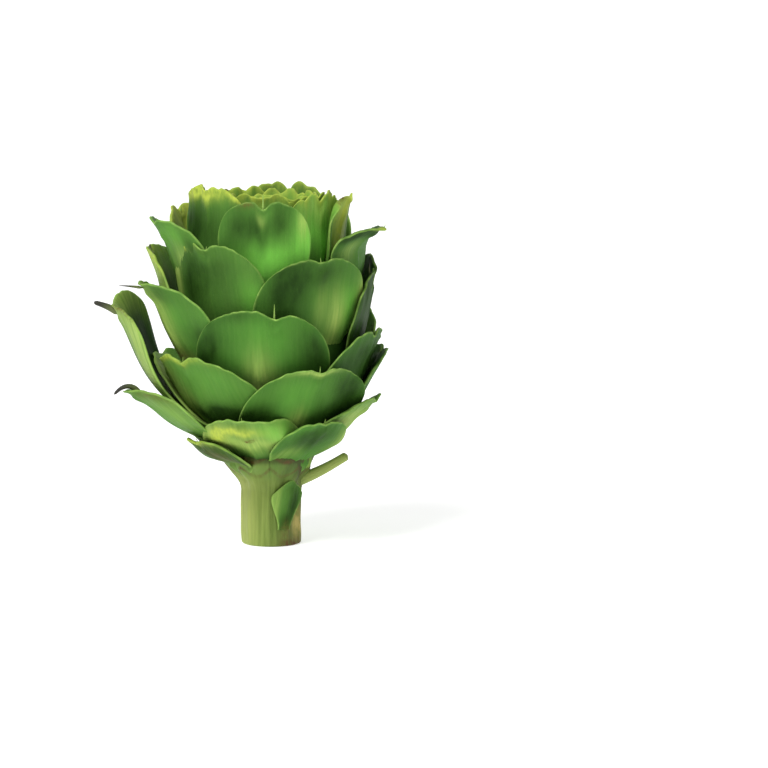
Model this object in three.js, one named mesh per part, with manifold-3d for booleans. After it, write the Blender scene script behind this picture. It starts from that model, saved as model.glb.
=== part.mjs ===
// A globe artichoke as cut for sale: a short stem and a head of broad, overlapping bracts.
// Millimetres, +Z up. The artichoke stands on the flat cut end of its stem, and the origin is
// the middle of that cut. The side seen from the front faces -Y.
import * as THREE from 'three';
import { mergeVertices } from 'three/addons/utils/BufferGeometryUtils.js';
import Module from 'manifold-3d';

// Driving dimensions of the stem
const STEM_RADIUS = 13;
const STEM_TOP = 34;
const NECK_RADIUS = 16.2;
const RIB_COUNT = 9;
const RIB_HEIGHT = 0.45;
const CUT_CHAMFER = 0.8;

// A small scale leaf pressed to the stalk, and the stump of a leaf cut off at the neck
const SCALE_AZIMUTH = 34;
const SCALE_FOOT = 6;
const SCALE_TIP = 27.5;
const SCALE_HALF_WIDTH = 6.5;
const STUMP_AZIMUTH = 84;
const STUMP_START = [8, 26];
const STUMP_END = [33, 38.5];
const STUMP_RADII = [2.8, 1.9];

// Driving dimensions of the head
const BODY_RADIUS = 47;
const BODY_HEIGHT = 90;
const UNDERSIDE_DEPTH = 62;
const CROWN_HEIGHT = 152;
const CROWN_NARROWING = 10;
const CORE_TOP = 104;
const CORE_SHARE = 0.8;
const FLESH_DEPTH = 8;
const DOME_RADIUS = 31;
const DOME_HEIGHT = 30;
const SEAM = 0.4;

// Driving dimensions of one bract. Its cap is a superellipse, and its grid reaches the corners
// of the cap at CORNER, as a share of the half width.
const BRACT_HALF_ANGLE = 0.62;
const BLADE_LENGTH = 41;
const ROOT_WIDTH = 0.66;
const ROOT_TUCK = 5;
const NECK_TUCK = 1;
const LAYER_SLOPE = 0.2;
const FLARE_REACH = 38;
const FLARE_POWER = 1.7;
const SIDE_STIFFNESS = 0.4;
const PLAIN_BEAK = 0.2;
const BEAK_SHARPNESS = 2.2;
const CAP_HEIGHT = 0.85;
const CAP_POWER = 2.2;
const CORNER = 0.74;
const NOTCH_DEPTH = 3;
const BLADE_THICKNESS = 2;
const EDGE_THICKNESS = 0.9;
const SPINE_RADIUS = 0.9;
const SPINE_ROOT = 1.5;
const SHORTEST_SPINE = 3;
const MIDRIB_STEPS = 32;

// The bracts are counted up the spiral, and bract 0 is the broad one that faces the front.
const GOLDEN_TURN = -137.508;
const FIRST_BRACT = -19;
const FIRST_INNER_BRACT = 15;
const LAST_BRACT = 42;
const LAST_FULL_LAYER = 13;

// Tip height against bract number: slow round the neck, even up the side, sunk in the middle.
const TIP_HEIGHTS = [[-19, 45], [-14, 56], [13, 149], [16, 152], [22, 153], [42, 143]];

// Where a real bract departs from the rule: its turn in degrees, the height of its tip, how far
// the tip leans out (flare) over what reach and with what power, how much the middle leans alone
// as a beak, how far the tip droops, its slope under the closed head, how far aside its notch is as
// a share of the half width and how deep it is, the lengths of its blade and its spine, how far the
// spine bends outwards in degrees, its share of the full width, the foot's share of that, its layer,
// which is its share of the head's radius, and how far its foot is tucked in.
const DEPARTURES = {
  '-19': { turn: 48, flare: 2, layer: 0.88 },
  '-18': { turn: -10, height: 48.5, flare: 8, width: 0.8 },
  '-16': { turn: -7, height: 58, flare: 5, width: 0.7 },
  '-14': { turn: 6, flare: 2, layer: 0.9 },
  '-13': { height: 60, flare: 6, width: 0.94 },
  '-11': { height: 66, flare: 5 },
  '-10': {
    turn: -13, height: 68, flare: 22, reach: 20, power: 0.9, beak: 0.4, slope: 0, notch: 1,
    spine: 12, bend: 38, width: 0.9,
  },
  '-8': { turn: 6, height: 82, flare: 5 },
  '-6': { flare: 4 },
  '-5': { turn: -13, height: 86, flare: 5, width: 1.1 },
  '-3': { turn: 18, height: 95, flare: 1 },
  '-2': {
    turn: -5, height: 104, flare: 13, reach: 60, power: 3.4, slope: 0, notch: 1, length: 52,
    spine: 10, bend: 32, width: 0.8, layer: 1.2, tuck: 14,
  },
  0: { turn: -5, height: 107, flare: 6, aside: 0.22, spine: 7, width: 1.08 },
  2: { turn: 3, height: 119, flare: -1, spine: 6, width: 0.9 },
  3: { turn: -13, height: 116, flare: 18, beak: 0.5, slope: 0.13, notch: 1, spine: 8, bend: 42, foot: 0.9 },
  5: { turn: -3, height: 128, flare: 3, width: 1.05 },
  6: { turn: 5, height: 128, flare: 11, power: 1.2, slope: 0.1, notch: 1, spine: 3 },
  7: { height: 124, flare: 1 },
  8: { turn: -17, height: 134, flare: 4 },
  10: {
    turn: 4, height: 140, flare: 14.5, reach: 12, power: 1.1, beak: 0.7, droop: 2, slope: 0.25,
    notch: 0.5, spine: 3, width: 0.8,
  },
  11: { height: 143, flare: 15 },
  12: { width: 0.85 },
  13: { turn: -16, height: 152, flare: 2, spine: 8, width: 0.9 },
  14: { turn: 10, height: 145, flare: 6, layer: 1 },
  15: { turn: -26, height: 152, flare: 8, power: 2.5, layer: 0.8, width: 0.74 },
  16: { turn: -8, height: 157, flare: 2, layer: 0.95, width: 0.95 },
  17: { turn: -14, height: 153, flare: 1 },
  18: { turn: 3, height: 153, flare: 1, layer: 0.78 },
  20: { height: 148 },
};

const wasm = await Module();
wasm.setup();

const radians = THREE.MathUtils.degToRad;
const clamp = THREE.MathUtils.clamp;
const lerp = THREE.MathUtils.lerp;

// A repeatable draw from 0 to 1 for one bract and one of its traits.
function draw(bract, trait) {
  const wave = Math.sin(bract * 12.9898 + trait * 78.233) * 43758.5453;
  return wave - Math.floor(wave);
}

// Straight lines between the rows [x, y] of a table that rises in x.
function between(rows, x) {
  const last = rows.length - 1;
  if (x <= rows[0][0]) return rows[0][1];
  if (x >= rows[last][0]) return rows[last][1];
  const i = rows.findIndex((row) => row[0] > x);
  const [x0, y0] = rows[i - 1];
  const [x1, y1] = rows[i];
  return lerp(y0, y1, (x - x0) / (x1 - x0));
}

// Radius of the closed head at a height: a rounded underside, then a gently narrowing barrel.
function envelope(z) {
  if (z < BODY_HEIGHT) {
    const down = Math.min(1, (BODY_HEIGHT - z) / UNDERSIDE_DEPTH);
    return BODY_RADIUS * (1 - down ** 2.6) ** 0.75;
  }
  const up = (z - BODY_HEIGHT) / (CROWN_HEIGHT - BODY_HEIGHT);
  return BODY_RADIUS - CROWN_NARROWING * up ** 2.2;
}

// The flesh that the outer bracts stand out of.
function coreRadius(z) {
  return Math.max(NECK_RADIUS - 0.5, CORE_SHARE * envelope(z), envelope(z) - FLESH_DEPTH);
}

// The domed top of the flesh that the inner bracts stand out of.
function domeHeight(r) {
  return CORE_TOP + SEAM + DOME_HEIGHT * (1 - Math.min(1, r / DOME_RADIUS) ** 2);
}

// What bract number n is like: where it points, how high and wide it is and how it leans.
function describeBract(n) {
  const own = DEPARTURES[n] ?? {};
  const inner = n >= FIRST_INNER_BRACT;
  const inwards = Math.max(0, n - LAST_FULL_LAYER) / (LAST_BRACT - LAST_FULL_LAYER);
  const layer = own.layer ?? 1 - 0.9 * inwards;
  const tip = own.height ?? between(TIP_HEIGHTS, n) + 3 * (draw(n, 1) - 0.5);
  const stray = inner ? 16 * (draw(n, 2) - 0.5) : 8 * (draw(n, 2) - 0.5);
  const azimuth = n * GOLDEN_TURN + (own.turn ?? stray);
  const outwards = inner ? 2.5 * layer - 1.5 : 4 + 5 * draw(n, 3);
  const root = inner
    ? clamp(domeHeight(layer * (BODY_RADIUS - CROWN_NARROWING)) - 5, CORE_TOP + 2, tip - 14)
    : clamp(tip - (own.length ?? BLADE_LENGTH), STEM_TOP + 1.8, CORE_TOP - FLESH_DEPTH);
  const radius = layer * envelope(Math.min(tip, CROWN_HEIGHT));
  const wrap = BRACT_HALF_ANGLE * (1 + 0.5 * (1 - layer));
  return {
    layer,
    tip,
    root,
    azimuth: radians(azimuth),
    flare: own.flare ?? outwards,
    reach: own.reach ?? FLARE_REACH,
    power: own.power ?? FLARE_POWER,
    beak: own.beak ?? PLAIN_BEAK,
    droop: own.droop ?? 0,
    slope: own.slope ?? LAYER_SLOPE,
    aside: own.aside ?? 0,
    spine: own.spine ?? (inner ? 0 : 1.5 + 2 * draw(n, 4)),
    bend: radians(own.bend ?? 0),
    halfWidth: wrap * radius * (own.width ?? 0.94 + 0.1 * draw(n, 5)),
    notch: own.notch ?? NOTCH_DEPTH * layer * (0.6 + 0.7 * draw(n, 6)),
    foot: own.foot ?? ROOT_WIDTH,
    tuck: own.tuck ?? (root < STEM_TOP + 2 ? NECK_TUCK : ROOT_TUCK),
    plump: lerp(0.7, 1, layer),
  };
}

// The bract's midrib from root to tip, as points { y, r, lean, z } at even steps of height:
// y is the length along it, r the radius of the layer and lean how far it is bent outwards.
function midrib(bract) {
  const points = [];
  for (let i = 0; i <= MIDRIB_STEPS; i += 1) {
    const v = i / MIDRIB_STEPS;
    const height = lerp(bract.root, bract.tip, v);
    const below = bract.tip - height;
    const near = Math.max(0, 1 - below / bract.reach);
    const layered = bract.layer * (envelope(height) - bract.slope * below);
    const point = {
      r: Math.max(1.5, layered - bract.tuck * (1 - v) ** 3),
      lean: bract.flare * near ** bract.power,
      z: height - bract.droop * near ** 3,
    };
    const before = points[i - 1];
    const outBy = before ? point.r + point.lean - before.r - before.lean : 0;
    point.y = before ? before.y + Math.hypot(outBy, point.z - before.z) : 0;
    points.push(point);
  }
  return points;
}

// The midrib at length y from the root, with the outward normal (nr, nz) of its curve.
function along(points, y) {
  const i = clamp(points.findIndex((p) => p.y >= y), 1, points.length - 1);
  const a = points[i - 1];
  const b = points[i];
  const t = (y - a.y) / (b.y - a.y);
  const outBy = b.r + b.lean - a.r - a.lean;
  const upBy = b.z - a.z;
  const size = Math.hypot(outBy, upBy);
  return {
    r: lerp(a.r, b.r, t),
    lean: lerp(a.lean, b.lean, t),
    z: lerp(a.z, b.z, t),
    nr: upBy / size,
    nz: -outBy / size,
  };
}

// How much of the midrib's lean is left at u, the share of the way from the middle to an edge.
function leanShare(bract, u) {
  const whole = 1 - SIDE_STIFFNESS * u * u;
  return lerp(whole, Math.exp(-BEAK_SHARPNESS * Math.hypot(u, 0.1)), bract.beak);
}

// One blade along a midrib, as a closed mesh. Its outline widens from the root and ends in a
// rounded cap, a superellipse, with a notch in the middle. Both faces are split alike.
function bladeGeometry(bract, points, columns, rows) {
  const length = points[points.length - 1].y;
  const a = bract.halfWidth;
  const cap = Math.min(CAP_HEIGHT * a, 0.6 * length);
  const shoulder = length - cap;
  const rim = (x) => shoulder + cap * (1 - Math.abs(x / a) ** CAP_POWER) ** (1 / CAP_POWER);
  const cornerY = rim(CORNER * a);
  const halfWidthAt = (y) => {
    if (y > shoulder) return a * (1 - ((y - shoulder) / cap) ** CAP_POWER) ** (1 / CAP_POWER);
    return a * lerp(bract.foot, 1, THREE.MathUtils.smoothstep(y / shoulder, 0, 1));
  };
  const position = [];
  const addPoint = (u, v, inwards) => {
    const x = u * halfWidthAt(v * cornerY);
    const fromNotch = (x - bract.aside * a) / (0.12 * a + 0.6);
    const top = rim(u * CORNER * a) - bract.notch * Math.exp(-(fromNotch ** 2));
    const place = along(points, v * top);
    const turn = x / place.r;
    const lean = place.lean * leanShare(bract, u);
    const out = place.r * Math.cos(turn) + lean - inwards * place.nr * Math.cos(turn);
    const across = place.r * Math.sin(turn) - inwards * place.nr * Math.sin(turn);
    const cos = Math.cos(bract.azimuth);
    const sin = Math.sin(bract.azimuth);
    // Azimuth 0 faces -Y, and azimuth grows towards +X.
    position.push(out * sin + across * cos, across * sin - out * cos, place.z - inwards * place.nz);
  };
  const spread = (s) => Math.sign(s) * Math.abs(s) ** 1.25;
  for (const face of [0, 1])
    for (let j = 0; j <= rows; j += 1)
      for (let i = 0; i <= columns; i += 1) {
        const u = spread((2 * i) / columns - 1);
        const v = j / rows;
        const edge = Math.max(Math.abs(u), v) ** 4;
        addPoint(u, v, face * lerp(BLADE_THICKNESS, EDGE_THICKNESS, edge) * bract.plump);
      }
  const faceSize = (columns + 1) * (rows + 1);
  const at = (face, i, j) => face * faceSize + j * (columns + 1) + i;
  const index = [];
  const quad = (p, q, r, s) => index.push(p, q, r, p, r, s);
  for (let j = 0; j < rows; j += 1)
    for (let i = 0; i < columns; i += 1) {
      quad(at(0, i, j), at(0, i + 1, j), at(0, i + 1, j + 1), at(0, i, j + 1));
      const [p, q, r, s] = [at(1, i, j), at(1, i + 1, j), at(1, i + 1, j + 1), at(1, i, j + 1)];
      index.push(p, r, q, p, s, r);
    }
  for (let i = 0; i < columns; i += 1) {
    quad(at(1, i, 0), at(1, i + 1, 0), at(0, i + 1, 0), at(0, i, 0));
    quad(at(0, i, rows), at(0, i + 1, rows), at(1, i + 1, rows), at(1, i, rows));
  }
  for (let j = 0; j < rows; j += 1) {
    quad(at(0, 0, j), at(0, 0, j + 1), at(1, 0, j + 1), at(1, 0, j));
    quad(at(1, columns, j), at(1, columns, j + 1), at(0, columns, j + 1), at(0, columns, j));
  }
  const geometry = new THREE.BufferGeometry();
  geometry.setAttribute('position', new THREE.Float32BufferAttribute(position, 3));
  geometry.setIndex(index);
  return geometry;
}

// A closed geometry as a solid that can be joined and cut.
function solidOf(geometry) {
  const bare = geometry.clone();
  bare.deleteAttribute('normal');
  bare.deleteAttribute('uv');
  const merged = mergeVertices(bare, 1e-4);
  return new wasm.Manifold(new wasm.Mesh({
    numProp: 3,
    vertProperties: merged.attributes.position.array,
    triVerts: new Uint32Array(merged.index.array),
  }));
}

// The solid without the pockets of air that its blades shut in: a pocket is a surface of its own
// whose volume counts as negative.
function withoutPockets(solid) {
  const surfaces = solid.decompose();
  const volumes = surfaces.map((surface) => surface.volume());
  return surfaces[volumes.indexOf(Math.max(...volumes))];
}

// A joined solid as a named mesh with its material.
function meshOf(name, solid, material) {
  const made = solid.getMesh();
  const geometry = new THREE.BufferGeometry();
  geometry.setAttribute('position', new THREE.BufferAttribute(made.vertProperties, 3));
  geometry.setIndex(new THREE.BufferAttribute(made.triVerts, 1));
  geometry.computeVertexNormals();
  const mesh = new THREE.Mesh(geometry, material);
  mesh.name = name;
  return mesh;
}

// A solid of revolution about Z, from rows of [radius, height] that start and end on the axis.
function turned(rows, segments) {
  const profile = rows.map(([r, z]) => new THREE.Vector2(r, z));
  return new THREE.LatheGeometry(profile, segments).rotateX(Math.PI / 2);
}

const leafGreen = new THREE.MeshStandardMaterial({ color: '#578a3a', roughness: 0.55 });
const crownGreen = new THREE.MeshStandardMaterial({ color: '#9db853', roughness: 0.55 });
const stemGreen = new THREE.MeshStandardMaterial({ color: '#9aa658', roughness: 0.65 });

function bractNumbers(first, last) {
  return Array.from({ length: last - first + 1 }, (_, i) => first + i);
}

// The spine in a bract's notch: a slim pyramid that goes on from the midrib, or bends outwards.
function spineGeometry(bract, points) {
  const foot = along(points, points[points.length - 1].y - bract.notch - SPINE_ROOT);
  const reach = bract.spine + SPINE_ROOT;
  const geometry = new THREE.ConeGeometry(SPINE_RADIUS, reach, 4, 1);
  geometry.translate(0, reach / 2, 0);
  const fromUpright = Math.atan2(-foot.nz, foot.nr) + bract.bend;
  geometry.rotateX(Math.PI / 2 + fromUpright);
  const depth = EDGE_THICKNESS / 2;
  const out = foot.r + foot.lean * leanShare(bract, bract.aside);
  geometry.translate(0, depth * foot.nr - out, foot.z - depth * foot.nz);
  return geometry.rotateZ(bract.azimuth + (bract.aside * bract.halfWidth) / foot.r);
}

// A head part: its flesh with the blades of its bracts, and their spines, joined to it.
function headPart(core, numbers, columns, rows) {
  let solid = solidOf(core);
  for (const n of numbers) {
    const bract = describeBract(n);
    const points = midrib(bract);
    solid = solid.add(solidOf(bladeGeometry(bract, points, columns, rows)));
    if (bract.spine >= SHORTEST_SPINE) solid = solid.add(solidOf(spineGeometry(bract, points)));
  }
  return withoutPockets(solid);
}

function outerBracts() {
  const rows = [[0, STEM_TOP + SEAM]];
  for (const z of [STEM_TOP + SEAM, 38, 42, 48, 60, 76, CORE_TOP]) rows.push([coreRadius(z), z]);
  rows.push([0, CORE_TOP]);
  return headPart(turned(rows, 24), bractNumbers(FIRST_BRACT, FIRST_INNER_BRACT - 1), 6, 5);
}

function innerBracts() {
  const rows = [[0, CORE_TOP + SEAM]];
  for (const r of [DOME_RADIUS, 26, 19, 10]) rows.push([r, domeHeight(r)]);
  rows.push([0, domeHeight(0)]);
  return headPart(turned(rows, 20), bractNumbers(FIRST_INNER_BRACT, LAST_BRACT), 6, 4);
}

// The stalk alone, with ribs that run down from the bracts to the cut.
function stalk() {
  const rows = [[0, 0], [STEM_RADIUS - CUT_CHAMFER, 0], [STEM_RADIUS, 1]];
  for (const z of [8, 16, 24, 28]) rows.push([STEM_RADIUS - 0.3, z]);
  rows.push([NECK_RADIUS, STEM_TOP], [0, STEM_TOP]);
  const geometry = turned(rows, 4 * RIB_COUNT);
  const place = geometry.attributes.position;
  for (let i = 0; i < place.count; i += 1) {
    const [x, y, z] = [place.getX(i), place.getY(i), place.getZ(i)];
    const rib = (RIB_HEIGHT / STEM_RADIUS) * Math.cos(RIB_COUNT * Math.atan2(y, x));
    const grown = z > 0 ? 1 + rib : 1;
    place.setXYZ(i, x * grown, y * grown, z);
  }
  return geometry;
}

// The small leaf that hugs the stalk, as a blade whose tip stands a little off it.
function scaleLeaf() {
  const points = [];
  for (const v of [0, 0.25, 0.5, 0.75, 1]) {
    const z = lerp(SCALE_FOOT, SCALE_TIP, v);
    points.push({ y: z - SCALE_FOOT, r: STEM_RADIUS + lerp(0.1, 1, v), lean: 1.2 * v ** 3, z });
  }
  const place = { azimuth: radians(SCALE_AZIMUTH), halfWidth: SCALE_HALF_WIDTH };
  const plain = { notch: 0, aside: 0, beak: 0, foot: ROOT_WIDTH, plump: 0.9 };
  return bladeGeometry({ ...place, ...plain }, points, 6, 5);
}

// The stump of a cut leaf: a tapered round bar that leaves the neck sideways and upwards.
function leafStump() {
  const [r0, z0] = STUMP_START;
  const [r1, z1] = STUMP_END;
  const [wide, slim] = STUMP_RADII;
  const reach = Math.hypot(r1 - r0, z1 - z0);
  const geometry = new THREE.CylinderGeometry(slim, wide, reach, 10, 2);
  geometry.translate(0, reach / 2, 0);
  geometry.applyQuaternion(new THREE.Quaternion().setFromUnitVectors(
    new THREE.Vector3(0, 1, 0),
    new THREE.Vector3(0, r0 - r1, z1 - z0).normalize(),
  ));
  return geometry.translate(0, -r0, z0).rotateZ(radians(STUMP_AZIMUTH));
}

function stem() {
  return withoutPockets(solidOf(stalk()).add(solidOf(scaleLeaf())).add(solidOf(leafStump())));
}

const artichoke = new THREE.Group();
artichoke.add(
  meshOf('stem', stem(), stemGreen),
  meshOf('outer_bracts', outerBracts(), leafGreen),
  meshOf('inner_bracts', innerBracts(), crownGreen),
);

export default artichoke;
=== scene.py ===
"""The looks of a globe artichoke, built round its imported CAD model.

Lengths are in millimetres in the shapes, and become metres where a mesh is made. The stage, the
lamps and the camera are placed in metres. Azimuth 0 faces the front, -Y, and azimuth grows
towards +X.
"""
import math

import bpy
import numpy as np
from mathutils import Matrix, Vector


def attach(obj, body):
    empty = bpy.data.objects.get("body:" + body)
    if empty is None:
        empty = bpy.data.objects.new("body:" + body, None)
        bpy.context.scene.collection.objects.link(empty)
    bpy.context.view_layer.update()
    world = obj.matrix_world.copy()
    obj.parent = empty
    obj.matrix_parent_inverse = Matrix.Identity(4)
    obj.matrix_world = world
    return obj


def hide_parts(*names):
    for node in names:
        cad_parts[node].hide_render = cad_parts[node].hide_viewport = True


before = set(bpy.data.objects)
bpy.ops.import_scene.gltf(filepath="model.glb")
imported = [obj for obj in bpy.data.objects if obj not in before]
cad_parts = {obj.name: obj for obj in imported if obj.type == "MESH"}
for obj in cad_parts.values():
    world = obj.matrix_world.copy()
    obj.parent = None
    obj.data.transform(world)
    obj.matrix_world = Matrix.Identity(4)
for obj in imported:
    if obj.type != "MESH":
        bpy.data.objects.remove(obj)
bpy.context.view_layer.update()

MM = 0.001

# Stem, as in the CAD model
STEM_RADIUS = 13.0
STEM_TOP = 34.0
NECK_RADIUS = 16.2
NECK_FOOT = 23.0
NECK_LENGTH = 12.0
RIB_COUNT = 9

# Finer stalk: how far its ribs stand out, the rounding of its cut edge, the collar that the lowest
# bracts stand on, slimmer at the azimuth where the neck is bare, the depth of the folds below it,
# and how dry and brown the middles of its two ends are
RIB_DEPTH = 0.45
CUT_ROUNDING = 0.8
CUT_EDGE_INSET = 1.3
COLLAR_FOOT = 28.0
COLLAR_TOP = 41.0
COLLAR_DEPTH = 4.5
BARE_AZIMUTH = 1.3
FOLD_DEPTH = 0.7
END_COLOURS = dict(dry=0.5, brown=0.2)

# Scale leaf on the stalk and stump of a cut leaf, as in the CAD model
SCALE_AZIMUTH = 34.0
SCALE_FOOT = 6.0
SCALE_TIP = 27.5
SCALE_HALF_WIDTH = 6.5
STUMP_AZIMUTH = 84.0
STUMP_START = (8.0, 26.0)
STUMP_END = (33.0, 38.5)
STUMP_RADII = (2.8, 1.9)

# Head, as in the CAD model
BODY_RADIUS = 47.0
BODY_HEIGHT = 90.0
UNDERSIDE_DEPTH = 62.0
CROWN_HEIGHT = 152.0
CROWN_NARROWING = 10.0
CORE_TOP = 104.0
FLESH_DEPTH = 8.0
DOME_RADIUS = 31.0
DOME_HEIGHT = 30.0
SEAM = 0.4

# One bract, as in the CAD model
BRACT_HALF_ANGLE = 0.62
BLADE_LENGTH = 41.0
ROOT_WIDTH = 0.66
ROOT_TUCK = 5.0
NECK_TUCK = 1.0
LAYER_SLOPE = 0.2
FLARE_REACH = 38.0
FLARE_POWER = 1.7
SIDE_STIFFNESS = 0.4
PLAIN_BEAK = 0.2
BEAK_SHARPNESS = 2.2
CAP_HEIGHT = 0.85
CAP_POWER = 2.2
CORNER = 0.74
NOTCH_DEPTH = 3.0
BLADE_THICKNESS = 2.0
EDGE_THICKNESS = 0.9

# The finer blades go on below the CAD blades' roots. The lowest ones run down the stalk and come
# out of its skin over a short stretch of height.
BURIED = 6.0
SKIN_EXIT = 29.0
SKIN_EXIT_LENGTH = 7.0
SUNK_IN_SKIN = 1.8
CLEAR_OF_SKIN = 0.8

# Relief of a finer blade, as heights and depths, and the spacing of its veins
RIM_ROLL = 0.6
DISH_DEPTH = 1.7
MIDRIB_HEIGHT = 0.6
PUCKER_HEIGHT = 0.8
VEIN_HEIGHT = 0.07
VEIN_SPACING = 2.1

# Border of a finer blade: the band where its grid is closer, the width that is rounded, and the
# width and depth of the lobes on an old rim
BORDER_BAND = 2.2
EDGE_ROUNDING = 0.6
LOBE_WIDTH = 8.0
LOBE_DEPTH = 2.0

# Finer flesh: how deep it lies behind the closed head, and its foot inside the neck
CORE_DEPTH = 12.0
CORE_FOOT = 35.5

# How far apart two bracts lie in the skin's own space, so that no two have the same grain
SKIN_STEP = 37.0

# The spiral, as in the CAD model
GOLDEN_TURN = -137.508
FIRST_BRACT = -19
FIRST_INNER_BRACT = 15
LAST_BRACT = 42
LAST_FULL_LAYER = 13
TIP_HEIGHTS = ((-19, 45), (-14, 56), (13, 149), (16, 152), (22, 153), (42, 143))

# Where a real bract departs from the rule, as in the CAD model. Its thorn is in THORNS.
DEPARTURES = {
    -19: dict(turn=48, flare=2, layer=0.88),
    -18: dict(turn=-10, height=48.5, flare=8, width=0.8),
    -16: dict(turn=-7, height=58, flare=5, width=0.7),
    -14: dict(turn=6, flare=2, layer=0.9),
    -13: dict(height=60, flare=6, width=0.94),
    -11: dict(height=66, flare=5),
    -10: dict(
        turn=-13, height=68, flare=22, reach=20, power=0.9, beak=0.4,
        slope=0, notch=1, width=0.9,
    ),
    -8: dict(turn=6, height=82, flare=5),
    -6: dict(flare=4),
    -5: dict(turn=-13, height=86, flare=5, width=1.1),
    -3: dict(turn=18, height=95, flare=1),
    -2: dict(
        turn=-5, height=104, flare=13, reach=60, power=3.4, slope=0, notch=1,
        length=52, width=0.8, layer=1.2, tuck=14,
    ),
    0: dict(turn=-5, height=107, flare=6, aside=0.22, width=1.08),
    2: dict(turn=3, height=119, flare=-1, width=0.9),
    3: dict(turn=-13, height=116, flare=18, beak=0.5, slope=0.13, notch=1, foot=0.9),
    5: dict(turn=-3, height=128, flare=3, width=1.05),
    6: dict(turn=5, height=128, flare=11, power=1.2, slope=0.1, notch=1),
    7: dict(height=124, flare=1),
    8: dict(turn=-17, height=134, flare=4),
    10: dict(
        turn=4, height=140, flare=14.5, reach=12, power=1.1, beak=0.7, droop=2,
        slope=0.25, notch=0.5, width=0.8,
    ),
    11: dict(height=143, flare=15),
    12: dict(width=0.85),
    13: dict(turn=-16, height=152, flare=2, width=0.9),
    14: dict(turn=10, height=145, flare=6, layer=1),
    15: dict(turn=-26, height=152, flare=8, power=2.5, layer=0.8, width=0.74),
    16: dict(turn=-8, height=157, flare=2, layer=0.95, width=0.95),
    17: dict(turn=-14, height=153, flare=1),
    18: dict(turn=3, height=153, flare=1, layer=0.78),
    20: dict(height=148),
}

# What the finer blades add, in mm: how far the left and the right edge curl outwards, how far the
# middle bulges, and how far the left and the right of the tip are lifted. The ripple of the rim and
# the hollow below it are multiples of the plain ones, the foot is a share of the full width, and a
# blade may be turned a few degrees and be a little wider than in the CAD model.
FINE_SHAPE = {
    -18: dict(left=1.0, right=1.0, bulge=2.6),
    -16: dict(left=1.5, bulge=1.6),
    -13: dict(crumple=1.8, bulge=2.0, right=-5.0),
    -10: dict(left=2.0, right=0.5, lift=(-1.5, 2.5)),
    -8: dict(right=2.5),
    -5: dict(left=0.0, crumple=2.2, foot=1.0, turned=-3.0, wider=1.1),
    -2: dict(left=-0.5, right=0.5, lift=(7.0, 0.0), hollow=0.0),
    0: dict(crumple=1.2),
    2: dict(bulge=1.2),
    3: dict(left=2.5, right=1.0),
    5: dict(right=0.8),
    8: dict(left=0.0, crumple=1.4),
    15: dict(left=5.0),
    16: dict(crumple=1.6),
}

# The small leaf on the stalk has a number of its own, outside the spiral.
STALK_LEAF = -30

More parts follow.
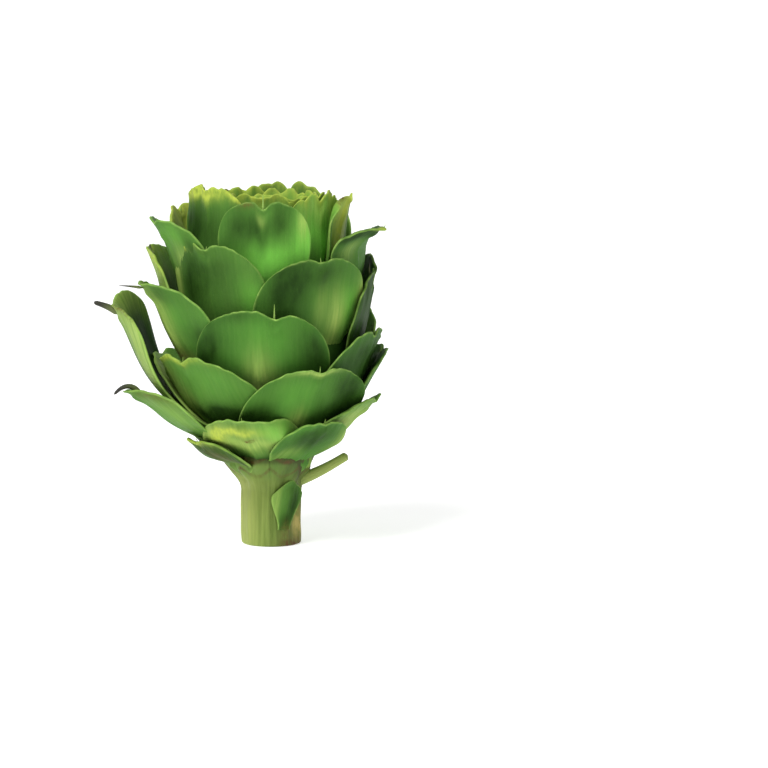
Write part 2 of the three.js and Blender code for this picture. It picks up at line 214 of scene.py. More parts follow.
# Marks on the bracts that face the front: the kind, the middle across as a share of the half
# width, the middle below the rim in mm, the half breadths of both, and the strength. The dark
# marks are painted shade at feet, in gaps and in hollows, partly a darker green as well; the
# bright marks are painted light, partly a fresher green as well.
MARKS = {
    STALK_LEAF: (
        ("pale", -0.8, 11, 0.3, 14, 1.0),
        ("dark", 0.45, 9, 0.45, 10, 1.1),
        ("dark", -0.1, 18, 0.5, 4, 0.7),
        ("brown", 0.3, 20, 0.5, 3, 0.7),
    ),
    -18: (
        ("brown", 0.3, 13, 0.6, 9, 0.5),
        ("pale", 0.3, 24, 0.6, 6, 0.3),
        # Painted shade over the whole blade.
        ("dark", 0.3, 9, 1.2, 10, 1.0),
        ("dry", -0.1, 1, 0.6, 2, 0.8),
        ("dark", 0.9, 22, 0.25, 8, 0.9),
    ),
    -16: (
        ("dark", -0.1, 10, 0.6, 10, 1.1),
        ("pale", 0.95, 12, 0.25, 16, 0.9),
        ("pale", -0.5, 23, 0.35, 6, 0.5),
        ("bright", -0.35, 3, 0.3, 3, 0.6),
    ),
    -13: (
        ("dry", -0.15, 8, 0.35, 2.6, 1.1),
        ("dry", -0.55, 10, 0.16, 6, 1.1),
        ("pale", -0.85, 8, 0.16, 8, 0.9),
        ("brown", 0.03, 14, 0.1, 1.2, 1.2),
        ("pale", -0.1, 18, 0.7, 5, 0.7),
        ("pale", 0.0, 12, 2.0, 16, 0.45),
        ("bright", 0.55, 8, 0.3, 8, 1.0),
        # Painted shadow in the gap low on this bract.
        ("dark", 0.0, 37, 2.0, 6, 2.0),
    ),
    -11: (("pale", 0.0, 14, 1.2, 12, 0.9), ("brown", -0.5, 16, 0.3, 5, 0.4)),
    -10: (
        ("brown", 0.5, 3, 0.3, 3, 0.5),
        ("pale", 0.6, 14, 0.5, 16, 0.4),
        ("bright", 0.5, 18, 0.4, 7, 0.3),
    ),
    -8: (
        ("bright", -0.3, 14, 0.35, 10, 0.35),
        ("pale", -0.14, 30, 0.12, 7, 1.1),
        ("pale", -0.05, 1.2, 0.3, 1.2, 1.2),
        ("dark", 0.62, 11, 0.3, 12, 1.2),
        ("dark", 0.62, 26, 0.5, 6, 1.7),
        ("dark", -0.85, 24, 0.3, 8, 1.4),
    ),
    -7: (("pale", 0.8, 14, 0.7, 26, 1.2), ("bright", 0.6, 6, 0.5, 6, 0.5)),
    -5: (
        ("pale", -0.72, 14, 0.28, 14, 1.2),
        ("pale", -1.0, 12, 0.3, 22, 1.2),
        ("pale", -0.4, 28, 0.28, 8, 1.2),
        ("bright", 0.3, 12, 0.4, 9, 0.25),
        # Painted shade in the gap above the rim of the bract in front.
        ("dark", 0.42, 31, 0.6, 5, 2.4),
        ("dry", -0.3, 1.2, 0.5, 1.5, 0.9),
        ("brown", -0.35, 33, 0.05, 4, 1.0),
    ),
    -3: (("dark", 0.0, 14, 0.9, 14, 1.0),),
    -2: (
        ("pale", 0.7, 18, 0.5, 34, 1.1),
        ("dark", -0.45, 26, 0.5, 18, 1.6),
        ("pale", -0.5, 3, 0.8, 9, 1.2),
        ("brown", 0.4, 0, 0.4, 2.5, 0.7),
    ),
    0: (
        ("dark", -0.8, 16, 0.24, 12, 1.3),
        ("dark", 0.78, 18, 0.22, 12, 1.1),
        ("bright", 0.1, 12, 0.35, 10, 0.3),
        ("pale", 0.0, 31, 0.2, 11, 0.8),
        ("dark", -0.35, 2, 0.3, 4, 0.5),
    ),
    2: (("pale", 1.0, 12, 0.12, 30, 0.6), ("dark", -0.2, 16, 1.2, 34, 2.0)),
    3: (
        ("pale", -0.1, 22, 0.26, 24, 1.3),
        ("brown", -0.1, 39, 0.3, 4, 0.8),
        ("dark", 0.78, 26, 0.3, 9, 1.0),
        ("dark", 0.25, 6, 0.25, 7, 0.5),
        ("bright", 0.4, 18, 0.3, 9, 0.3),
    ),
    5: (
        ("dark", -0.5, 10, 0.33, 13, 1.5),
        ("dark", 0.1, 6, 0.3, 6, 0.7),
        ("pale", 0.38, 27, 0.18, 11, 1.0),
        ("pale", 0.05, 20, 0.1, 9, 0.4),
        ("pale", 0.94, 16, 0.14, 18, 1.0),
        ("dark", -0.65, 30, 0.3, 8, 1.2),
        ("bright", 0.65, 22, 0.25, 10, 0.9),
    ),
    6: (("pale", 0.6, 14, 0.7, 16, 1.2), ("dry", 0.4, 2, 0.6, 3, 0.8)),
    7: (("dark", 0.0, 14, 1.4, 30, 1.6),),
    8: (
        ("pale", -0.85, 12, 0.13, 16, 1.2),
        ("dark", -0.42, 18, 0.25, 16, 0.9),
        ("dark", 0.1, 14, 0.6, 12, 0.7),
        ("bright", 0.75, 22, 0.22, 9, 0.9),
        ("dry", -0.6, 1, 0.3, 1.6, 0.9),
    ),
    10: (
        ("dark", -0.4, 4, 1.2, 5, 1.4),
        ("pale", -0.45, 16, 0.3, 5, 0.6),
        ("dry", -0.05, 1, 0.1, 1.5, 1.0),
    ),
    11: (
        ("bright", 0.3, 8, 0.5, 6, 0.5),
        ("pale", 0.5, 22, 0.3, 8, 0.8),
        ("dark", 0.75, 12, 0.2, 8, 0.8),
    ),
    13: (
        ("dark", -0.5, 11, 0.4, 11, 0.8),
        ("dark", -0.1, 12, 0.3, 6, 0.6),
        ("dark", 0.36, 9, 0.18, 8, 0.9),
        ("brown", -0.32, 1, 0.16, 1.6, 0.7),
        ("pale", -0.05, 6, 0.08, 2.5, 0.7),
        # Painted light on the lower part, where the blade passes behind the bracts in front.
        ("bright", 0.3, 27, 0.8, 12, 1.3),
        ("bright", 0.85, 14, 0.14, 14, 1.3),
        ("pale", 0.82, 5, 0.1, 8, 0.9),
    ),
    14: (("pale", 0.0, 10, 1.0, 14, 1.2), ("dry", 0.0, 3, 1.4, 8, 0.9)),
    15: (
        # A pale, dry face, made paler still as painted light where it turns away from the lamps.
        ("pale", 0.0, 12, 0.6, 30, 1.4),
        ("dry", 0.0, 10, 0.4, 30, 1.2),
        ("bright", -0.9, 12, 0.4, 30, 1.0),
        ("dark", -1.0, 10, 0.12, 24, 1.0),
        ("brown", -0.5, 0, 0.25, 1.6, 1.0),
    ),
    16: (
        ("dry", -0.3, 2, 0.6, 3.2, 1.4),
        ("dark", -0.6, 19, 0.4, 11, 1.4),
        ("dark", 0.1, 18, 0.4, 9, 0.6),
        ("dry", 0.75, 1.5, 0.3, 1.5, 0.8),
    ),
    18: (("bright", 0.0, 14, 1.4, 16, 1.0), ("pale", 0.2, 6, 1.0, 6, 0.5)),
    22: (("brown", 0.45, 0.5, 0.06, 1.2, 2.0), ("dark", 0.1, 8, 0.4, 6, 0.9)),
}

# How far a thorn starts inside its blade, in mm
THORN_SUNK = 1.6

# Thorns that differ from the plain one: how far below the rim each starts and how long it is in mm,
# the angles from upright at its start and its end in degrees, its radius in mm before it thins, the
# share of that which it loses towards its end, and how pale and soft it is.
THORNS = {
    -10: dict(start=8, length=17, turns=(10, 135), radius=1.6, taper=0.6),
    -2: dict(start=5, length=13, turns=(58, 74), radius=1.8, taper=0.5),
    0: dict(start=2, length=8, turns=(0, 12), radius=0.55, soft=1),
    2: dict(start=2, length=8, turns=(-8, 10), radius=0.5),
    3: dict(start=2.5, length=12, turns=(80, 84), radius=0.75),
    6: dict(start=2, length=3.5, turns=(30, 0), radius=0.8),
    13: dict(start=1.5, length=8, turns=(6, -4), radius=0.6, soft=1),
}


def draw(bract, trait):
    """A repeatable draw from 0 to 1: the fraction of a large multiple of a sine."""
    wave = math.sin(bract * 12.9898 + trait * 78.233) * 43758.5453
    return wave - math.floor(wave)


def smooth(x):
    """The cubic 3x^2 - 2x^3 of x held between 0 and 1."""
    x = np.clip(x, 0, 1)
    return x * x * (3 - 2 * x)


def mix(a, b, t):
    """From a to b as t goes from 0 to 1."""
    return a + (b - a) * t


def bell(x, width):
    """The bell curve exp(-(x / width)^2)."""
    return np.exp(-((x / width) ** 2))


def ripple(x, n, trait, lengths):
    """The mean of sine waves of the given lengths in mm along x, each with its bract's phase."""
    phases = [2 * math.pi * draw(n, trait + i) for i in range(len(lengths))]
    return sum(np.sin(2 * math.pi * x / w + p) for w, p in zip(lengths, phases)) / len(lengths)


def placed(out, across, height, azimuth):
    """Points from how far out, how far to the right and how high they are at an azimuth."""
    cos, sin = math.cos(azimuth), math.sin(azimuth)
    return np.stack([out * sin + across * cos, across * sin - out * cos, height], -1)


def envelope(z):
    """Radius of the closed head: a rounded underside, then a gently narrowing barrel."""
    z = np.asarray(z, float)
    down = np.clip((BODY_HEIGHT - z) / UNDERSIDE_DEPTH, 0, 1)
    up = np.clip((z - BODY_HEIGHT) / (CROWN_HEIGHT - BODY_HEIGHT), 0, None)
    under = BODY_RADIUS * (1 - down**2.6) ** 0.75
    return np.where(z < BODY_HEIGHT, under, BODY_RADIUS - CROWN_NARROWING * up**2.2)


def dome_height(r):
    """Height of the domed flesh behind the inner bracts: a parabola of the radius."""
    return CORE_TOP + SEAM + DOME_HEIGHT * (1 - np.minimum(1, r / DOME_RADIUS) ** 2)


def describe_bract(n):
    """What bract n is like: where it points, its size, how it leans and how fine its rim is."""
    own = DEPARTURES.get(n, {})
    inner = n >= FIRST_INNER_BRACT
    inwards = max(0, n - LAST_FULL_LAYER) / (LAST_BRACT - LAST_FULL_LAYER)
    layer = own.get("layer", 1 - 0.9 * inwards)
    ruled_tip = float(np.interp(n, *zip(*TIP_HEIGHTS))) + 3 * (draw(n, 1) - 0.5)
    tip = own.get("height", ruled_tip)
    stray = (16 if inner else 8) * (draw(n, 2) - 0.5)
    azimuth = n * GOLDEN_TURN + own.get("turn", stray)
    outwards = 2.5 * layer - 1.5 if inner else 4 + 5 * draw(n, 3)
    if inner:
        foot = float(dome_height(layer * (BODY_RADIUS - CROWN_NARROWING))) - 5
        root = min(max(foot, CORE_TOP + 2), tip - 14)
    else:
        foot = tip - own.get("length", BLADE_LENGTH)
        root = min(max(foot, STEM_TOP + 1.8), CORE_TOP - FLESH_DEPTH)
    low = root < STEM_TOP + 2
    radius = layer * float(envelope(min(tip, CROWN_HEIGHT)))
    wrap = BRACT_HALF_ANGLE * (1 + 0.5 * (1 - layer))
    fine = FINE_SHAPE.get(n, {})
    return dict(
        n=n,
        layer=layer,
        tip=tip,
        root=root,
        low=low,
        azimuth=math.radians(azimuth + fine.get("turned", 0.0)),
        flare=own.get("flare", outwards),
        reach=own.get("reach", FLARE_REACH),
        power=own.get("power", FLARE_POWER),
        beak=own.get("beak", PLAIN_BEAK),
        droop=own.get("droop", 0),
        slope=own.get("slope", LAYER_SLOPE),
        aside=own.get("aside", 0),
        half_width=wrap * radius * own.get("width", 0.94 + 0.1 * draw(n, 5)) * fine.get("wider", 1.0),
        notch=own.get("notch", NOTCH_DEPTH * layer * (0.6 + 0.7 * draw(n, 6))),
        foot=fine.get("foot", own.get("foot", ROOT_WIDTH)),
        tuck=own.get("tuck", NECK_TUCK if low else ROOT_TUCK),
        plump=mix(0.7, 1, layer),
        sway=0.0,
        cap_power=CAP_POWER,
        left=fine.get("left", 0.8 * draw(n, 10)),
        right=fine.get("right", 0.8 * draw(n, 11)),
        crumple=fine.get("crumple", 1.0),
        bulge=fine.get("bulge", 0.0),
        hollow=fine.get("hollow", 1.0),
        lift=fine.get("lift", (0.0, 0.0)),
        wither=float(smooth((n - 13) / 6)),
        young=float(smooth((n - 16) / 14)),
    )


def neck_radius(z):
    """Radius of the stalk, which widens below the bracts by a smooth step of the height."""
    return mix(STEM_RADIUS - 0.3, NECK_RADIUS, smooth((z - NECK_FOOT) / NECK_LENGTH))


def midrib(bract, steps=96):
    """The midrib: length along it from the root of the CAD blade, radius, lean and height.

    The radius is the layer's share of the envelope less a slope, tucked in at the root, and the
    lean grows towards the tip with a power of the height. The midrib starts a little lower than
    the CAD blade, inside the flesh. Where a low bract runs down the stalk, it starts under the skin
    and comes out by a smooth step of the height, without a lean until it is out.
    """
    tall = bract["tip"] - bract["root"]
    v = np.linspace(-BURIED / tall, 1, steps + 1)
    height = bract["root"] + tall * v
    below = bract["tip"] - height
    near = np.clip(1 - below / bract["reach"], 0, None)
    layered = bract["layer"] * (envelope(height) - bract["slope"] * below)
    r = np.maximum(1.5, layered - bract["tuck"] * (1 - v) ** 3)
    lean = bract["flare"] * near ** bract["power"]
    if bract["low"]:
        out = smooth((height - SKIN_EXIT) / SKIN_EXIT_LENGTH)
        r = np.maximum(r, neck_radius(height) + mix(-SUNK_IN_SKIN, CLEAR_OF_SKIN, out))
        lean = lean * out
    z = height - bract["droop"] * near**3
    y = np.concatenate([[0], np.cumsum(np.hypot(np.diff(r + lean), np.diff(z)))])
    return y - np.interp(0, v, y), r, lean, z


def lean_share(bract, u):
    """How much of the midrib's lean is left at u: a parabola, or for a beak an exponential."""
    beaked = np.exp(-BEAK_SHARPNESS * np.hypot(u, 0.1))
    return mix(1 - SIDE_STIFFNESS * u * u, beaked, bract["beak"])


def crowded(count, margin, both):
    """Steps from 0 to 1 (or -1 to 1) that crowd at the rim, where a blade's edge is rounded."""
    rim = 1 - margin * np.array([0.62, 0.36, 0.18, 0.07, 0.0])
    if both:
        middle = np.linspace(-1 + margin, 1 - margin, count)
        return np.concatenate([-rim[::-1], middle, rim])
    return np.concatenate([np.linspace(0, 1 - margin, count), rim])


def relief(bract, x, u, below, edge):
    """How far the skin stands proud of the plain blade, in mm, along the outward normal.

    The rim rolls outwards and fades by an exponential, and ripples by sine waves. Each edge curls
    by the square of a smooth step. Bell curves dish the middle, let it bulge, raise a low midrib and
    pucker the skin under the notch. Shallow veins are a cosine across.
    """
    n, layer = bract["n"], bract["layer"]
    roll = RIM_ROLL * layer * np.exp(-below / 2.5)
    ruffle = (0.5 + 0.5 * bract["wither"]) * bract["crumple"] * np.exp(-edge / 6)
    waves = ruffle * ripple(x, n, 30, (11, 17, 6.5))
    left = bract["left"] * smooth((-u - 0.5) / 0.5) ** 2
    right = bract["right"] * smooth((u - 0.5) / 0.5) ** 2
    curl = (left + right) * smooth(1.8 - below / 22)
    dish = -DISH_DEPTH * layer * bract["hollow"] * bell(u, 0.6) * bell(below - 13, 9)
    rib = MIDRIB_HEIGHT * bell(x, 1.8) * smooth(below / 14)
    from_notch = x - bract["aside"] * bract["half_width"]
    fold = 0.6 * bell(below - 7, 2.5) - bell(below - 3, 1.6)
    pucker = PUCKER_HEIGHT * layer * bell(from_notch, 2.5) * fold
    veins = VEIN_HEIGHT * np.cos(2 * math.pi * x / VEIN_SPACING) * smooth(edge / 3)
    bulge = bract["bulge"] * bell(below - 12, 8)
    return roll + waves + curl + dish + rib + pucker + veins + bulge


def ruled_marks(n):
    """Marks for a bract that the front view doesn't show: painted shade in a hollow, painted light on
    a lower part, a pale foot and a pale side, each drawn a little differently."""
    side = -0.5 + draw(n, 40)
    return (
        ("dark", side, 6 + 7 * draw(n, 41), 0.4, 9, 0.7 * draw(n, 42)),
        ("bright", -side, 16 + 8 * draw(n, 43), 0.4, 9, 0.8 * draw(n, 44)),
        ("pale", 0.4 * side, 28, 0.35, 12, 0.4 + 0.4 * draw(n, 45)),
        ("pale", 0.9 if side < 0 else -0.9, 14, 0.25, 14, 0.7 * draw(n, 46)),
        ("brown", -0.8 * side, 2, 0.15, 2, 0.5 * draw(n, 47)),
    )


def colouring(bract, across, below, edge):
    """How strongly each colour shows, from 0 to 1: the sum of the bract's marks, each a bell
    across times a bell along, with a pale margin and painted highlight on the rim, a bleached foot,
    and a dry band with a broken brown edge on old rims."""
    n = bract["n"]
    shown = {kind: np.zeros_like(across) for kind in ("bright", "dark", "pale", "dry", "brown")}
    for kind, middle, depth, breadth, height, strength in MARKS.get(n, ruled_marks(n)):
        shown[kind] += strength * bell(across - middle, breadth) * bell(below - depth, height)
    lumps = 0.5 + 0.5 * ripple(across * bract["half_width"], n, 50, (4.3, 7.9))
    shown["pale"] += 0.1 * draw(n, 7) + 0.6 * smooth((below - 34) / 8)
    shown["dry"] += 0.9 * bract["wither"] * np.exp(-below / (0.8 + 2.6 * lumps))
    shown["brown"] += 0.5 * bract["wither"] * np.exp(-edge / 0.5) * smooth(3 * lumps - 2)
    shown["young"] = np.full_like(across, bract["young"])
    # A pale margin along the rim, with a painted highlight where its edge catches the light.
    shown["rim"] = bell(edge, 0.6) * (0.3 + 0.6 * lumps)
    shown["tone"] = np.full_like(across, draw(n, 9))
    return {kind: np.clip(amount, 0, 1) for kind, amount in shown.items()}


def blade(bract, line, columns, rows):
    """A blade as a closed shell: outer grid, inner grid and a strip round the border.

    u runs across and v along. The outline's half width grows from the root by a smooth step, then
    falls as a superellipse, whose rim has a bell-shaped notch, lobes from a sine's absolute value
    where it is old, and fine sine waves. A low bract narrows to a point down the stalk. The blade
    bends round the axis at the midrib's radius, leans less towards its sides, and each half may be
    lifted by the cube of the length. Relief moves it along its normal.
    """
    lengths, radii, leans, heights = line
    n, length, a, power = bract["n"], lengths[-1], bract["half_width"], bract["cap_power"]
    cap = min(CAP_HEIGHT * a, 0.6 * length)
    shoulder = length - cap
    runs_down = bract["low"] and lengths[0] < 0

    def rim_at(x):
        return shoulder + cap * (1 - np.abs(x / a) ** power) ** (1 / power)

    def half_at(y):
        over = np.clip((y - shoulder) / cap, 0, 1)
        widening = mix(bract["foot"], 1, smooth(y / shoulder))
        pointed = np.clip(1 - y / lengths[0], 0.04, 1) ** 0.7 if runs_down else 1.0
        return a * np.where(y > shoulder, (1 - over**power) ** (1 / power), widening * pointed)

    across_steps = crowded(columns, BORDER_BAND / a, True)
    u, v = np.meshgrid(across_steps, crowded(rows, BORDER_BAND / length, False))
    half = half_at(mix(lengths[0], rim_at(CORNER * a), v))
    x = u * half
    notch = bract["notch"] * bell(x - bract["aside"] * a, 0.12 * a + 0.6)
    lobes = np.abs(np.sin(math.pi * (x / LOBE_WIDTH + draw(n, 20)))) - 0.6
    ragged = LOBE_DEPTH * bract["wither"] * lobes + 0.3 * ripple(x, n, 24, (3.4, 5, 9))
    top = rim_at(u * CORNER * a) - notch + ragged * (1 - u**8)
    y = mix(lengths[0], top, v)
    below = top - y
    edge = np.minimum(below, (1 - np.abs(u)) * half)

    r = np.interp(y, lengths, radii)
    lean = np.interp(y, lengths, leans) * lean_share(bract, u)
    left_lift, right_lift = bract["lift"]
    lift = left_lift * smooth(-u / 0.8) + right_lift * smooth(u / 0.8)
    z = np.interp(y, lengths, heights) + lift * np.clip(y / length, 0, 1) ** 3
    above, under = np.minimum(y + 0.5, length), np.maximum(y - 0.5, lengths[0])
    bent = radii + leans
    out_by = np.interp(above, lengths, bent) - np.interp(under, lengths, bent)
    up_by = np.interp(above, lengths, heights) - np.interp(under, lengths, heights)
    size = np.hypot(out_by, up_by)
    nr, nz = up_by / size, -out_by / size
    turn = (x + bract["sway"] * y) / r

    core = mix(EDGE_THICKNESS, BLADE_THICKNESS, 1 - np.exp(-edge / 6)) * bract["plump"]
    rounding = np.clip(1 - edge / EDGE_ROUNDING, 0, 1)
    full = np.sqrt(np.clip(1 - rounding**2, 0.02, 1))
    raised = relief(bract, x, u, below, edge) - 0.5 * core
    faces = []
    for side in (0.5, -0.5):
        offset = raised + side * core * full
        out = r * np.cos(turn) + lean + offset * nr * np.cos(turn)
        across = r * np.sin(turn) + offset * nr * np.sin(turn)
        faces.append(placed(out, across, z + offset * nz, bract["azimuth"]).reshape(-1, 3))

    count = x.size
    grid = np.arange(count).reshape(x.shape)
    quads = np.stack([grid[:-1, :-1], grid[:-1, 1:], grid[1:, 1:], grid[1:, :-1]], -1).reshape(-1, 4)
    border = np.concatenate([grid[0, :-1], grid[:-1, -1], grid[-1, :0:-1], grid[:0:-1, 0]])
    onward = np.roll(border, -1)
    strip = np.stack([border + count, onward + count, onward, border], -1)
    shown = colouring(bract, x / a, below, edge)
    skin = np.stack([x, y, np.full_like(x, SKIN_STEP * n)], -1).reshape(-1, 3)
    return dict(
        points=np.concatenate(faces),
        quads=np.concatenate([quads, quads[:, ::-1] + count, strip]),
        ends=np.zeros((0, 3), int),
        shown={kind: np.tile(amount.ravel(), 2) for kind, amount in shown.items()},
        skin=np.tile(skin, (2, 1)),
    )


def ringed(rings, first, last, skin, **amounts):
    """A closed shell from rings of points, with a single point at each end."""
    count, sides = rings.shape[0] * rings.shape[1], rings.shape[1]
    grid = np.arange(count).reshape(-1, sides)
    after = np.roll(grid, -1, axis=1)
    low = np.stack([np.full(sides, count), after[0], grid[0]], -1)
    high = np.stack([np.full(sides, count + 1), grid[-1], after[-1]], -1)
    points = np.concatenate([rings.reshape(-1, 3), [first, last]])
    kinds = ("bright", "dark", "pale", "dry", "brown", "young", "rim", "tone")
    return dict(
        points=points,
        quads=np.stack([grid[:-1], after[:-1], after[1:], grid[1:]], -1).reshape(-1, 4),
        ends=np.concatenate([low, high]),
        shown={kind: np.zeros(len(points)) + amounts.get(kind, 0.0) for kind in kinds},
        skin=np.concatenate([skin.reshape(-1, 3), skin[0, :1], skin[-1, :1]]),
    )


def revolved(profile, segments, swell=None):
    """Rings round the axis from rows of (radius, height) that start and end on it.
    swell(azimuth, z) scales the radius."""
    profile = np.array(profile, float)
    azimuth = np.linspace(0, 2 * math.pi, segments, endpoint=False)[None, :]
    z = profile[1:-1, 1][:, None] * np.ones_like(azimuth)
    r = profile[1:-1, 0][:, None] * (swell(azimuth, z) if swell else np.ones_like(azimuth))
    rings = np.stack([r * np.sin(azimuth), -r * np.cos(azimuth), z], -1)
    skin = np.stack([azimuth * STEM_RADIUS + 0 * z, z, 0 * z], -1)
    return rings, (0, 0, profile[0, 1]), (0, 0, profile[-1, 1]), skin


def swept(out, height, radii, azimuth, sides, seed):
    """Rings round a path in the upright plane at an azimuth, square to the path's direction."""
    tilt = np.arctan2(np.gradient(out), np.gradient(height))[:, None]
    around = np.linspace(0, 2 * math.pi, sides, endpoint=False)[None, :]
    side = -radii[:, None] * np.sin(around)
    front = radii[:, None] * np.cos(around)
    outs, heights = out[:, None] + front * np.cos(tilt), height[:, None] - front * np.sin(tilt)
    rings = placed(outs, side, heights, azimuth)
    ends = placed(out[[0, -1]], np.zeros(2), height[[0, -1]], azimuth)
    along = np.concatenate([[0], np.cumsum(np.hypot(np.diff(out), np.diff(height)))])[:, None]
    skin = np.stack([radii[:, None] * around, along + 0 * around, 0 * side + SKIN_STEP * seed], -1)
    return rings, ends[0], ends[1], skin


def join(shells):
    """Several shells as one: their points one after the other."""
    starts = np.cumsum([0] + [len(shell["points"]) for shell in shells[:-1]])
    return dict(
        points=np.concatenate([shell["points"] for shell in shells]),
        quads=np.concatenate([shell["quads"] + start for shell, start in zip(shells, starts)]),
        ends=np.concatenate([shell["ends"] + start for shell, start in zip(shells, starts)]),
        shown={kind: np.concatenate([s["shown"][kind] for s in shells]) for kind in shells[0]["shown"]},
        skin=np.concatenate([shell["skin"] for shell in shells]),
    )


def piece(name, shell, material, node, slot):
    """A smooth mesh object from a shell in mm, riding on the part and standing for its node."""
    mesh = bpy.data.meshes.new(name)
    faces = shell["quads"].tolist() + shell["ends"].tolist()
    mesh.from_pydata((shell["points"] * MM).tolist(), [], faces)
    for kind, amount in shell["shown"].items():
        mesh.attributes.new(kind, "FLOAT", "POINT").data.foreach_set("value", amount.astype(np.float32))
    skin = mesh.attributes.new("skin", "FLOAT_VECTOR", "POINT")
    skin.data.foreach_set("vector", shell["skin"].astype(np.float32).ravel())
    mesh.polygons.foreach_set("use_smooth", np.ones(len(mesh.polygons), bool))
    mesh.materials.append(material)
    mesh.update()
    made = bpy.data.objects.new(name, mesh)
    bpy.context.scene.collection.objects.link(made)
    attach(made, "root")
    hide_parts(node)


# Materials


def linear(colour):
    """An sRGB hex colour as linear red, green, blue and alpha."""
    parts = np.array([int(colour[i : i + 2], 16) / 255 for i in (1, 3, 5)])
    low, high = parts / 12.92, ((parts + 0.055) / 1.055) ** 2.4
    return (*np.where(parts <= 0.04045, low, high).tolist(), 1.0)


def add(tree, kind, inputs, result=0, **settings):
    """Adds a node with its settings, and a value or a link on each input, and returns one of its
    outputs, or nothing where it has none."""
    made = tree.nodes.new(kind)
    for key, value in settings.items():
        setattr(made, key, value)
    for key, value in inputs.items():
        if isinstance(value, bpy.types.NodeSocket):
            tree.links.new(value, made.inputs[key])
        else:
            made.inputs[key].default_value = value
    return made.outputs[result] if made.outputs else None


def new_material(name):
    """An empty node material and its tree."""
    made = bpy.data.materials.new(name)
    made.use_nodes = True
    made.node_tree.nodes.clear()
    return made, made.node_tree


def grain(tree, across, along, low, high, detail=3.0):
    """Noise on the skin's own millimetres, with features of the given size across and along it,
    brought to run from low to high."""
    skin = add(tree, "ShaderNodeAttribute", {}, "Vector", attribute_name="skin")
    sized = add(tree, "ShaderNodeMapping", {"Vector": skin, "Scale": (1 / across, 1 / along, 1.0)})
    noise = add(tree, "ShaderNodeTexNoise", {"Vector": sized, "Scale": 1.0, "Detail": detail})
    span = {"Value": noise, "From Min": 0.3, "From Max": 0.7, "To Min": low, "To Max": high}
    return add(tree, "ShaderNodeMapRange", span)


def layered(tree, colour, layers):
    """A colour with others laid over it. Each layer has the trait that says where it shows, its
    own colour and the grain that breaks it up. Sockets 6 and 7 of a mix are its colours."""
    for trait, over, broken in layers:
        shown = add(tree, "ShaderNodeAttribute", {}, "Fac", attribute_name=trait)
        product = dict(operation="MULTIPLY", use_clamp=True)
        amount = add(tree, "ShaderNodeMath", {0: shown, 1: broken}, **product)
        mixed = {0: amount, 6: colour, 7: linear(over)}
        colour = add(tree, "ShaderNodeMix", mixed, 2, data_type="RGBA")
    return colour


def waxy_bract_skin():
    """Living leaf skin, waxy and matte, with fine veins that run up the blade. The wax gives a
    broad soft gloss, the foot is bleached where it was covered, and old rims dry to yellow."""
    material, tree = new_material("waxy bract skin")
    clouds = grain(tree, 12, 20, 0.0, 1.0)
    streaks = grain(tree, 1.3, 24, 0.0, 1.0, detail=4.0)
    deep, fresh = linear("#335f1e"), linear("#43742a")
    green = add(tree, "ShaderNodeMix", {0: clouds, 6: deep, 7: fresh}, 2, data_type="RGBA")
    veined = add(tree, "ShaderNodeMath", {0: streaks, 1: 0.15}, operation="MULTIPLY")
    paler = {0: veined, 6: green, 7: linear("#74a048")}
    green = add(tree, "ShaderNodeMix", paler, 2, data_type="RGBA")
    colour = layered(tree, green, (
        ("tone", "#467828", grain(tree, 30, 40, 0.2, 0.6)),
        # Painted light: a lighter, fresher green where a blade is lit.
        ("bright", "#68b23f", grain(tree, 8, 14, 0.6, 1.0)),
        ("pale", "#97b257", grain(tree, 1.6, 22, 0.5, 1.1)),
        # Painted shade: a dark green at feet, in gaps and in hollows, partly darker tips.
        ("dark", "#1f3c0c", grain(tree, 5, 12, 0.7, 1.05)),
        ("young", "#8cb54a", grain(tree, 2, 10, 0.7, 1.0)),
        # Pale margin and painted highlight along the rim.
        ("rim", "#94b85a", grain(tree, 3, 3, 0.5, 1.1)),
        ("dry", "#b0c04a", grain(tree, 1.5, 3, 0.5, 1.2)),
        ("brown", "#5f5426", grain(tree, 1.2, 1.6, 0.3, 1.3)),
    ))
    pores = grain(tree, 0.9, 0.9, 0.0, 0.5)
    height = add(tree, "ShaderNodeMath", {0: streaks, 1: pores}, operation="ADD")
    bump = add(tree, "ShaderNodeBump", {"Height": height, "Strength": 0.35, "Distance": 0.25 * MM})
    shader = add(tree, "ShaderNodeBsdfPrincipled", {
        "Base Color": colour,
        "Normal": bump,
        "Roughness": grain(tree, 6, 9, 0.55, 0.68),
        "IOR": 1.42,
        "Specular IOR Level": 0.14,
        "Subsurface Weight": 0.08,
        "Subsurface Radius": (0.6, 1.0, 0.3),
        "Subsurface Scale": 1.5 * MM,
    })
    add(tree, "ShaderNodeOutputMaterial", {"Surface": shader})
    return material


